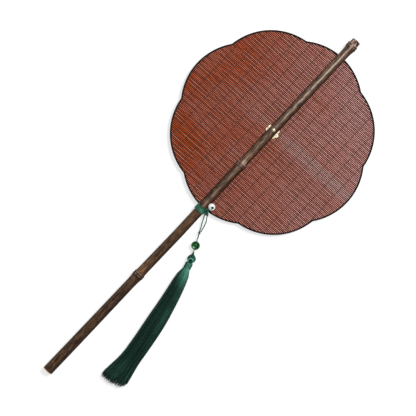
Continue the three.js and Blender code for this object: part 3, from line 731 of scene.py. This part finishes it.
threadLook = threadFinish("greenThread", (16, 62, 46), (50, 116, 91), (108, 172, 146), rows=430)
cordLook = threadFinish("darkGreenCord", (12, 48, 38), (28, 78, 62), (56, 108, 91), 0.1)
knotLook = threadFinish("mixedGreenCord", (8, 40, 30), (44, 98, 79), (90, 142, 124), 1.3)
loopLook = threadFinish("paleGreenCord", (24, 70, 55), (64, 114, 97), (110, 156, 140), 0.1)
neckLook = threadFinish("tealThread", (46, 106, 86), (72, 132, 110), (104, 164, 142), 0.4,
                        flank=((0.957, 0.289, 0), 0.0145))
archLook = threadFinish("paleTealThread", (60, 124, 102), (92, 160, 136), (136, 196, 174), 0.2)
wrap = {"top": -0.45, "turns": 7, "pitch": 0.92, "thread": 1.0, "y": -4.4, "first": -math.pi / 4}
twoPly = {"plies": 2, "lay": 1.7, "step": 0.28}
hitch = np.array([8.5774, -3.0, axisZ])
straightUp = (0, 0, 1)


def makeWrap():
    middle = culmSway(wrap["y"])
    radius = culmRadius(wrap["y"]) + 0.12 + wrap["thread"] / 2
    turn = np.linspace(0, 2 * np.pi * (wrap["turns"] - 0.25), 60 * wrap["turns"])
    x, z = middle + radius * np.cos(wrap["first"] - turn), axisZ + radius * np.sin(wrap["first"] - turn)
    y = wrap["top"] - wrap["thread"] / 2 + 0.25 - wrap["pitch"] * turn / (2 * np.pi)
    heap = Heap()
    heap.add(pliedCord(np.stack([x, y, z], 1), wrap["thread"], **twoPly))
    bend, outer = np.linspace(0.15, 1.25, 16), radius + 0.55
    for shift, lean in ((0.9, 0.9), (-0.6, -1.2)):  # two crossing turns that draw the hitch in
        over = np.stack([middle + outer * np.cos(bend), wrap["y"] + shift + lean * (bend - 0.7),
                         axisZ + outer * np.sin(bend)], 1)
        heap.add(pliedCord(over, 0.7, **twoPly))
    makePiece("threadWrap", heap.built(), threadLook, "fan", ["thread_wrap"])


def ringLoop(middle, radius, lean, heading, thick):  # a tilted closed loop of cord
    turn = fullTurn(36)
    tilt = math.tan(lean) * np.cos(turn - heading)
    loop = middle + radius * np.stack([np.cos(turn), np.sin(turn), tilt], 1)
    return thread(loop, thick, 8, straightUp, True)


def makeHitch():
    heap = Heap()
    for side in (-1, 1):
        for radius, height, lean, heading in ((1.35, 1.45, 0.18, 0.4), (1.5, 1.85, -0.22, 2.0),
                                              (1.25, 2.2, 0.25, 4.1), (0.7, 2.45, 0.1, 1.0)):
            heap.add(ringLoop(hitch + (0, 0, side * height), radius, lean, heading + side, 0.5))
    heap.add(thread([hitch + (0, 0, z) for z in np.linspace(-2.3, 2.3, 9)], 0.62, 10))
    x = culmSway(wrap["y"]) + culmRadius(wrap["y"]) + 0.2
    for start, end in (((x, -1.6, axisZ + 2.6), (0.2, 1.2, 2.3)), ((x, -5.4, axisZ + 2.4), (0.3, -1.3, 2.2)),
                       ((x, -3.2, axisZ - 2.6), (-0.2, 0.6, -2.2))):
        last = hitch + np.array(end)
        middle = (np.array(start) + last) / 2 + (0.4, 0.2, 0.7 * np.sign(end[2]))
        heap.add(pliedCord(smoothRoute([start, middle, last]), 0.8, **twoPly))
    makePiece("hitchKnot", heap.built(), knotLook, "fan", ["hitch_knot"])


def trefoil(place, size, thick, turn):  # a small tied knot
    t = fullTurn(60)
    knot = np.stack([np.sin(t) + 2 * np.sin(2 * t), np.cos(t) - 2 * np.cos(2 * t), -np.sin(3 * t)], 1)
    knot *= (size - thick) / 3
    knot[:, 2] *= 1.3
    spin = np.array(Matrix.Rotation(turn[0], 3, "X") @ Matrix.Rotation(turn[1], 3, "Y"))
    points, faces = thread(knot, thick, 8, straightUp, True)
    return points @ spin.T + np.asarray(place), faces


makeWrap()
makeHitch()

whiteBead = {"place": np.array([7.3274, 6.54, 13.1649]), "axis": np.array([0.27547, -0.00962, 0.96126]),
             "radius": 4.0, "bore": 1.0, "mouth": 1.5, "knot": 4.95}


def beadProfile(radius, bore, mouth, steps=30):
    start = math.asin(mouth / radius)
    angles = np.linspace(start + 0.03, math.pi - start - 0.03, steps)
    arc = [(radius * math.sin(angle), -radius * math.cos(angle)) for angle in angles]
    rise = radius * math.cos(start)
    inner = rise - (mouth - bore)
    lip = [(mouth - 0.06, rise - 0.02), (mouth - 0.2, rise - 0.14), (bore + 0.06, inner - 0.05),
           (bore, inner - 0.25)]
    return arc + lip + [(r, -z) for r, z in reversed(lip)]


def glazeFinish():
    look = Finish("whiteGlaze")
    cloud = look.noise((260, 260, 520), 4.0)
    colour = look.mix(srgb(255, 255, 253), srgb(244, 244, 239), look.ease(cloud, 0.5, 0.75))
    return look.surface(colour, 0.16 + 0.1 * cloud, more={
        "Coat Weight": 0.3, "Subsurface Weight": 0.5, "Subsurface Radius": (0.002, 0.002, 0.0018),
        "Subsurface Scale": 0.5})


def onBead(along):
    return whiteBead["place"] + along * whiteBead["axis"]


def makeWhiteBead():
    profile = beadProfile(whiteBead["radius"], whiteBead["bore"], whiteBead["mouth"])
    ball = spun(profile, whiteBead["place"], whiteBead["axis"], 64, True)
    makePiece("whiteBead", ball, glazeFinish(), "side_bead", ["white_bead"])


def makeBeadCord():
    route = [hitch + step for step in (
        (0, 0, 2.5), (0, 0.3, 3.3), (-0.4, 1.6, 3.4), (-1.3, 3.5, 2.6), (-2.2, 5.3, 1.8), (-2.5, 7.1, 1.5),
        (-2.7, 8.6, 1.6))]
    route += [onBead(along) for along in (-4, -2.4, 0, 3.6)]
    cords = Heap()
    cords.add(pliedCord(smoothRoute(route), 1.1))
    middle = hitch + (-2.5, 2.6, 3.6)  # knot over the rim
    for lean, heading, radius in ((0.5, 0.3, 1.8), (-0.6, 1.4, 1.6), (0.8, 2.6, 1.2), (0.15, 0.9, 2.1),
                                  (-0.3, 4.0, 0.7)):
        cords.add(ringLoop(middle, radius, lean, heading, 0.66))
    spare = [middle + step for step in (
        (-0.6, 0.6, 0.8), (-1.6, 2.2, 0.9), (-2.0, 4.0, 0.8), (-1.0, 5.6, 0.2))]
    cords.add(pliedCord(smoothRoute(spare + [onBead(-4.2)]), 1.0))
    tail = [middle + (1.0, -0.8, 0.6), middle + (1.9, -1.9, 0.3), hitch + (0.2, -0.4, 2.6)]
    cords.add(pliedCord(smoothRoute(tail), 1.3))
    makePiece("beadCord", cords.built(), knotLook, "fan", ["bead_cord"])


def makeStopKnot():
    tie = Heap()
    tie.add(trefoil(onBead(whiteBead["knot"]), 1.7, 0.55, (0.5, 0.6)))
    tie.add(trefoil(onBead(whiteBead["knot"]), 1.6, 0.55, (2.0, -0.7)))
    tie.add(thread([onBead(along) for along in (3.6, 4.4, 5.0, 5.7)], (0.6, 1.2, 1.25, 0.6), 10))
    makePiece("stopKnot", tie.built(), cordLook, "fan", ["stop_knot"])


makeWhiteBead()
makeBeadCord()
makeStopKnot()
print("wrap, hitch and white bead tied")


# Tassel cord: loop round the hitch, knot, bead between two spacers
drop = {"knot": np.array([17.0974, -24.2, 5.0]), "way": np.array([0.44385, -0.8961, 0.0]), "reach": 1.9,
        "bead": 14.86, "beadRadius": 5.0, "beadBore": 0.9, "beadMouth": 1.2, "spacer": 6.2, "end": 25.06,
        "cord": 1.2, "loopCord": 1.0, "lay": 3.2, "loopLay": 4.2,
        "ring": ((0.9, -0.8), (1.0, -0.9), (1.25, -0.88), (1.46, -0.6), (1.5, 0), (1.46, 0.6), (1.25, 0.88),
                 (1.0, 0.9), (0.9, 0.8)),
        "splay": ((22.3, 0.35), (23.4, 0.6), (24.6, 0.95), (25.6, 1.4), (26.4, 2.1))}


def loopRoute():
    def turned(degrees, radius):
        angle = math.radians(degrees)
        return radius * np.array([math.cos(angle), math.sin(angle), 0])
    first, last = (drop["knot"] + turned(angle, drop["reach"]) - hitch for angle in (72, 126))
    points = [first, (8.52, -16.8, -2.4), (7.87, -13.8, -2.9), (7.17, -11.1, -3), (6.22, -8.2, -2.8),
              (4.72, -5.4, -2), (2.8, -2.7, -0.8)]
    points += [turned(angle, 1.5) for angle in (20, 65, 110, 155, 200)]
    points += [(-0.5, -3.5, -0.7), (0.82, -6.3, -1.9), (2.32, -9.3, -2.7), (3.82, -12.2, -2.9),
               (5.32, -15, -2.8), (6.42, -17.2, -2.4), last]
    return smoothRoute(points) + hitch


def glassFinish(name, deep, bright, share, roughness, shine=0.35, glow=None):
    look = Finish(name)
    cloud = look.noise((260, 260, 260), 3.0)
    colour = look.mix(srgb(*deep), srgb(*bright), look.ease(cloud, 0.42, 0.6))
    if glow:  # light gathered by the glass on the side away from the lamp
        towards = look.vector("DOT_PRODUCT", look.facing(), glow, "Value")
        colour = look.coats(
            colour,
            ((4, 128, 44), 0.55 * look.ease(towards, 0.55, 0.95)),
            ((196, 226, 200), 0.85 * look.ease(towards, 0.95, 0.985)))
    clear = {"Transmission Weight": share, "IOR": 1.5}
    return look.surface(colour, roughness + 0.05 * cloud, None, shine, clear)


def onDrop(along):
    return drop["knot"] + along * drop["way"]


def makeLoop(route):
    cord = pliedCord(route, 1.4 * drop["loopCord"], lay=drop["loopLay"])
    return makePiece("tasselLoop", cord, loopLook, "loop", ["tassel_loop"])


def makeLoopKnot():
    tie = Heap()
    tie.add(trefoil(drop["knot"], 1.75, 0.5, (0.4, -0.5)))
    tie.add(thread([onDrop(along) for along in (-1.9, -0.9, 0, 0.9, 1.9)], 0.72, 10))
    return makePiece("loopKnot", tie.built(), cordLook, "loop", ["loop_knot"])


def makeDropCord():
    cords = Heap()
    stretch = [onDrop(drop["reach"]), onDrop(drop["end"])]
    cords.add(pliedCord(stretch, 1.15 * drop["cord"], lay=drop["lay"]))
    x, y, _ = drop["way"]
    for turn in np.linspace(0, 2 * np.pi, 11)[:-1]:  # ends of the plies, splayed over the tassel's head
        lean = np.array([-y * math.cos(turn), x * math.cos(turn), math.sin(turn)])
        cords.add(thread([onDrop(along) + out * lean for along, out in drop["splay"]], 0.42, 6))
    return makePiece("dropCord", cords.built(), cordLook, "drop", ["drop_cord"])


def makeGreenBead():
    glow = unit((-0.06, -0.6, 0.79)).tolist()
    glass = glassFinish("greenGlass", (0, 26, 8), (0, 88, 26), 0.0, 0.04, 0.2, glow)
    profile = beadProfile(drop["beadRadius"], drop["beadBore"], drop["beadMouth"])
    ball = spun(profile, onDrop(drop["bead"]), drop["way"], 64, True)
    return makePiece("greenBead", ball, glass, "drop_bead", ["green_bead"])


def makeSpacers():
    clear = glassFinish("clearGlass", (236, 240, 237), (250, 251, 250), 0.25, 0.06)
    made = []
    for name, node, side in (("spacerUpper", "spacer_upper", -1), ("spacerLower", "spacer_lower", 1)):
        ring = spun(drop["ring"], onDrop(drop["bead"] + side * drop["spacer"]), drop["way"], 40, True)
        made.append(makePiece(name, ring, clear, "drop", [node]))
    return made


loopPath = loopRoute()
loopPiece = makeLoop(loopPath)
onCord = [makeLoopKnot(), makeDropCord(), makeGreenBead(), *makeSpacers()]
print("loop, knot and green bead hung")


# Tassel: ball head, wound neck and silk strands
tassel = {"head": np.array([30.5728, -51.4056, 5.0]), "angle": math.radians(16.8), "length": 162,
          "bend": math.radians(-12.8), "bandOuter": 4.15, "band": (4.9, 12.2), "bandTurns": 11,
          "strands": 1050, "strand": 0.19, "locks": 84, "headStrands": 76, "start": 5.6, "core": 153,
          "seed": 21,
          "at": (5, 11.8, 14, 20, 27, 34, 47, 60, 74, 87, 128, 134, 141, 148, 160),
          "wide": (6.3, 6.7, 9.9, 13.5, 15.6, 16.8, 18.5, 19.9, 21.6, 22.3, 22.3, 23.2, 24.8, 26.8, 30),
          "deep": (6.3, 6.6, 8.2, 9.2, 9.3, 9.3, 9.3, 9.3, 9.3, 9.3, 9.3, 9.2, 9.0, 8.8, 8.4),
          "ends": ((-1, -0.5, 0, 0.6, 0.85, 1), (165.5, 167.2, 166.3, 164, 161.5, 156))}


def onTassel(along, across, rise):  # place from the head's middle, down the bent bundle
    rate = tassel["bend"] / tassel["length"]
    heading = rate * np.asarray(along, float)
    x = (1 - np.cos(heading)) / rate + across * np.cos(heading)
    y = -np.sin(heading) / rate + across * np.sin(heading)
    c, s = math.cos(tassel["angle"]), math.sin(tassel["angle"])
    return np.stack([tassel["head"][0] + c * x - s * y, tassel["head"][1] + s * x + c * y,
                     tassel["head"][2] + rise + 0 * x], -1)


def tasselRing(along, across, rise, count):  # an oval ring round the bundle
    turn = fullTurn(count)
    return onTassel(np.full(count, along), np.cos(turn) * across, np.sin(turn) * rise)


def bundle(size, along):  # width or depth at a place along the bundle
    return np.interp(along, tassel["at"], tassel[size])


def silkFinish():
    look = Finish("greenSilk")
    pick = look.island()
    other = look.node("ShaderNodeTexWhiteNoise", {"noise_dimensions": "1D"}, {"W": pick * 77.3})
    sheen = look.noise((60, 60, 60), 3.0)
    fibre = look.noise((2400, 300, 2400), 2.0)
    down = (look.axis("Y") + 0.0515) / -0.157  # share of the way down the bundle
    across = look.axis("X") - 0.0306 - 0.0288 * down - 0.0184 * down * (1 - down)
    near = look.ease(down, 0.045, 0.07) * (1 - look.ease(down, 0.07, 0.28))  # light lies on the shoulder
    glint = 0.45 * look.hill(across, 0.0055, 0.005) * look.hill(down, 0.4, 0.34)  # then right of the middle
    glint = glint + near * look.hill(across, 0.0015, 0.0085)
    lit = look.mix(srgb(64, 116, 98), srgb(104, 188, 162), near)
    # the head is lighter, with a painted highlight on its right side
    head = (0.3 + 0.35 * look.ease(across, -0.002, 0.005)) * (1 - look.ease(down, 0.04, 0.055))
    tips = (0.2 + 0.6 * look.ease(down, 0.75, 1.0)) * look.ease(other, 0.7, 0.94)
    colour = look.coats(
        srgb(3, 11, 8),
        ((10, 30, 22), look.ease(pick, 0.1, 0.9)),
        (lit, 0.9 * glint * look.ease(other, 0.1, 0.8)),
        ((44, 88, 72), head),
        ((64, 112, 92), tips),
        ((3, 13, 10), 0.6 * look.ease(sheen, 0.45, 0.65)))
    tint = {"Specular Tint": (0.4, 1.0, 0.8, 1)}
    return look.surface(colour, 0.3 + 0.16 * sheen, look.bump(fibre, 0.00004, 0.4), 0.6, tint)


def silkStrand(dice):
    angle, depth = dice.uniform(0, 2 * np.pi), 0.8 + 0.2 * math.sqrt(dice.uniform())
    end = np.interp(math.cos(angle), *tassel["ends"]) - abs(dice.normal(0, 1.8))
    end += dice.uniform(1, 3.5) if dice.uniform() < 0.12 else 0
    s = np.linspace(tassel["start"], end, 22)
    loose = np.clip((s - 20) / 120, 0, 1)
    swing, phase = dice.uniform(0.01, 0.045), dice.uniform(0, 2 * np.pi, 2)
    lock = round(angle / (2 * np.pi) * tassel["locks"])  # the tips draw together in locks
    lock = 2 * np.pi * (lock + 0.3 * math.sin(7 * lock)) / tassel["locks"]
    fray = np.clip((s - 125) / 35, 0, 1) ** 2
    turned = angle + 0.7 * fray * (lock - angle) + 0.5 * swing * loose * np.sin(s / 17 + phase[0])
    out = np.minimum(depth * (1 + swing * loose * np.sin(s / 23 + phase[1])), 1)
    aside = fray * dice.normal(0, 0.35) - 0.25 * np.exp(-((s - 27) / 14) ** 2)
    across = np.cos(turned) * out * (bundle("wide", s) / 2 - tassel["strand"]) + aside
    rise = np.sin(turned) * out * (bundle("deep", s) / 2 - tassel["strand"])
    taper = tassel["strand"] * np.clip(0.35 + (end - s) / 14, 0.35, 1)
    return thread(onTassel(s, across, rise), taper, 4, straightUp)


def makeSkirt(silk, dice):
    heap = Heap()
    heap.add(skin([tasselRing(s, 0.42 * bundle("wide", s), 0.4 * bundle("deep", s), 28)
                   for s in np.linspace(tassel["start"], tassel["core"], 40)]))
    for _ in range(tassel["strands"]):
        heap.add(silkStrand(dice))
    makePiece("silkSkirt", heap.built(), silk, "tassel", ["tassel_skirt"])


def makeHead(silk, dice):
    ball = Heap()
    caps = [tasselRing(-4.4 * math.cos(p), 4.4 * math.sin(p), 4.4 * math.sin(p), 24)
            for p in np.linspace(0.05, 2.4, 16)]
    ball.add(skin(caps + [tasselRing(6.0, 2.9, 2.9, 24)]))
    polar = np.linspace(0.12, math.pi - math.asin(3.3 / 4.7) - 0.02, 16)
    thick = np.append(0.24 * np.clip(np.sin(polar) * 1.3, 0.35, 1), (0.18, 0.15, 0.15))
    for k in range(tassel["headStrands"]):  # folded strands over the ball and into the neck
        angle = 2 * np.pi * (k + dice.uniform(-0.25, 0.25)) / tassel["headStrands"]
        reach = 4.64 + dice.uniform(-0.05, 0.1)
        sway = np.append(angle + 0.08 * np.sin(polar * 2 + k), [angle] * 3)
        out = np.append(reach * np.sin(polar), (3.15, 3.1, 3.1))
        along = np.append(-reach * np.cos(polar), (4.2, 5.4, 6.4))
        ball.add(thread(onTassel(along, np.cos(sway) * out, np.sin(sway) * out), thick, 5))
    return makePiece("tasselHead", ball.built(), silk, "tassel", ["tassel_head"])


def makeArch():
    # a pale cord arched over the head; its pale colour is a painted highlight across the head
    sweep = np.radians(np.linspace(0, 180, 30))
    along = np.concatenate([[5.0, 3.8], 2.5 - 2.8 * np.sin(sweep), [3.8, 5.0]])
    across = np.concatenate([[2.4, 2.75], 2.9 * np.cos(sweep), [-2.75, -2.4]])
    rise = np.sqrt(np.maximum(4.9 ** 2 - across ** 2 - along ** 2, 2.6 ** 2))
    cord = pliedCord(onTassel(along, across, rise), 1.5, lay=3.4)
    return makePiece("headBand", cord, archLook, "tassel")


def makeNeck():
    low, high = tassel["band"]
    radius = tassel["bandOuter"] - 0.16
    spin = np.linspace(0, 2 * np.pi * tassel["bandTurns"], 40 * tassel["bandTurns"])
    along = low + 0.35 + (high - low - 0.7) * spin / spin[-1]
    cord = pliedCord(onTassel(along, radius * np.cos(spin), radius * np.sin(spin)), 0.68, 2, 1.6)
    return makePiece("neckWinding", cord, neckLook, "tassel", ["tassel_neck_band"])


def makeTassel():
    silk = silkFinish()
    dice = np.random.default_rng(tassel["seed"])
    makeSkirt(silk, dice)
    return [makeHead(silk, dice), makeArch(), makeNeck()]


onCord += makeTassel()
print("tassel combed")


# Table and light: white paper, one broad lamp from the upper right and an even sky
studio = {"lampWatts": 46.0, "lampSize": 0.8, "lampAway": 2.4, "lampHeight": 60, "lampTurn": 76,
          "lampAim": (0.01, 0.06, 0), "sky": 0.39, "paper": 0.45, "paperGlow": 0.66, "tableHalf": 4,
          "tableTop": -0.0002}


def grey(level):
    return level, level, level, 1


def makeTable():
    paper = Finish("whitePaper")
    fleck = paper.noise((30, 30, 30), 2.0)
    plain = paper.node("ShaderNodeBsdfDiffuse", {}, {"Color": paper.mix(grey(0.9), grey(0.93), fleck)})
    dim = paper.node("ShaderNodeBsdfDiffuse", {}, {"Color": grey(studio["paper"])})
    glow = paper.node("ShaderNodeEmission", {}, {"Color": grey(1), "Strength": studio["paperGlow"]})
    lit = paper.node("ShaderNodeAddShader", {}, {0: dim, 1: glow})
    rays = ("Is Camera Ray", "Is Glossy Ray", "Is Transmission Ray")
    shown = sum(paper.node("ShaderNodeLightPath", {}, {}, ray) for ray in rays)
    shade = paper.node("ShaderNodeMixShader", {}, {0: shown, 1: plain, 2: lit})
    paper.node("ShaderNodeOutputMaterial", {}, {0: shade})
    mesh = bpy.data.meshes.new("table")
    half, top = studio["tableHalf"], studio["tableTop"]
    corners = ((-half, -half, top), (half, -half, top), (half, half, top), (-half, half, top))
    mesh.from_pydata(corners, [], [(0, 1, 2, 3)])
    mesh.materials.append(paper.material)
    table = bpy.data.objects.new("table", mesh)
    world.link(table)


def makeSky():
    sky = Finish("sky", bpy.data.worlds.new("sky"))
    even = sky.node("ShaderNodeBackground", {}, {"Color": grey(1), "Strength": studio["sky"]})
    backdrop = sky.node("ShaderNodeBackground", {}, {"Color": grey(1), "Strength": 1.0})
    seen = sky.node("ShaderNodeLightPath", {}, {}, "Is Camera Ray")
    shade = sky.node("ShaderNodeMixShader", {}, {0: seen, 1: even, 2: backdrop})
    sky.node("ShaderNodeOutputWorld", {}, {0: shade})
    bpy.context.scene.world = sky.material


def makeLamp():
    lamp = bpy.data.lights.new("lamp", "AREA")
    lamp.energy, lamp.size, lamp.shape = studio["lampWatts"], studio["lampSize"], "DISK"
    stand = bpy.data.objects.new("lamp", lamp)
    world.link(stand)
    turn, height = math.radians(studio["lampTurn"]), math.radians(studio["lampHeight"])
    way = Vector((math.cos(turn) * math.cos(height), math.sin(turn) * math.cos(height), math.sin(height)))
    stand.location = Vector(studio["lampAim"]) + way * studio["lampAway"]
    stand.rotation_euler = way.to_track_quat("Z", "Y").to_euler()


makeTable()
makeSky()
makeLamp()
bpy.context.scene.view_settings.view_transform = "Standard"
print("studio lit")
